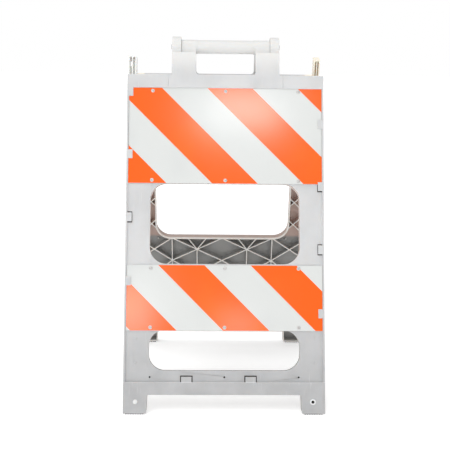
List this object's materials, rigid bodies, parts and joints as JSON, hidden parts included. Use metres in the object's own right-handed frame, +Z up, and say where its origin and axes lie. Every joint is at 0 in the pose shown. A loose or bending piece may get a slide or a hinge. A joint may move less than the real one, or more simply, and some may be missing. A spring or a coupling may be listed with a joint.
{
  "type": "folding traffic barricade",
  "caption": "Folding A-frame traffic barricade: two white plastic leaves hinged on a carry bar, each with orange and white striped rails, a window and a lower slot.",
  "frame": {"origin": "on the floor, midway between the four feet, under the hinge rod", "axes": "+Z up, +X along the hinge rod, front leaf towards -Y and rear leaf towards +Y"},
  "size_m": [0.622, 0.717, 1.138],
  "materials": {
    "white_plastic": "satin moulded polyethylene",
    "rail_board": "extruded plastic sheet",
    "white_sheeting": "white prismatic retroreflective sheeting",
    "orange_film": "transparent orange film over retroreflective sheeting",
    "rivet_metal": "set blind rivets",
    "rod_steel": "zinc plated",
    "pad_rubber": "dull black rubber"
  },
  "bodies": {
    "front_leaf": {"front_leaf_moulding": "white_plastic", "front_upper_rail_board": "rail_board", "front_upper_white_sheeting": "white_sheeting", "front_upper_orange_stripes": "orange_film", "front_upper_rivets": "rivet_metal", "front_lower_rail_board": "rail_board", "front_lower_white_sheeting": "white_sheeting", "front_lower_orange_stripes": "orange_film", "front_lower_rivets": "rivet_metal", "front_foot_pads": "pad_rubber", "hinge_rod": "rod_steel", "hinge_rod_caps": "rod_steel"},
    "rear_leaf": {"rear_leaf_moulding": "white_plastic", "rear_upper_rail_board": "rail_board", "rear_upper_white_sheeting": "white_sheeting", "rear_upper_orange_stripes": "orange_film", "rear_upper_rivets": "rivet_metal", "rear_lower_rail_board": "rail_board", "rear_lower_white_sheeting": "white_sheeting", "rear_lower_orange_stripes": "orange_film", "rear_lower_rivets": "rivet_metal", "rear_foot_pads": "pad_rubber"}
  },
  "joints": [
    {"name": "fold", "type": "hinge", "parent": "front_leaf", "child": "rear_leaf", "pos_m": [0, 0, 1.106], "axis": [-1, 0, 0], "range_deg": [0, 32.35]}
  ]
}
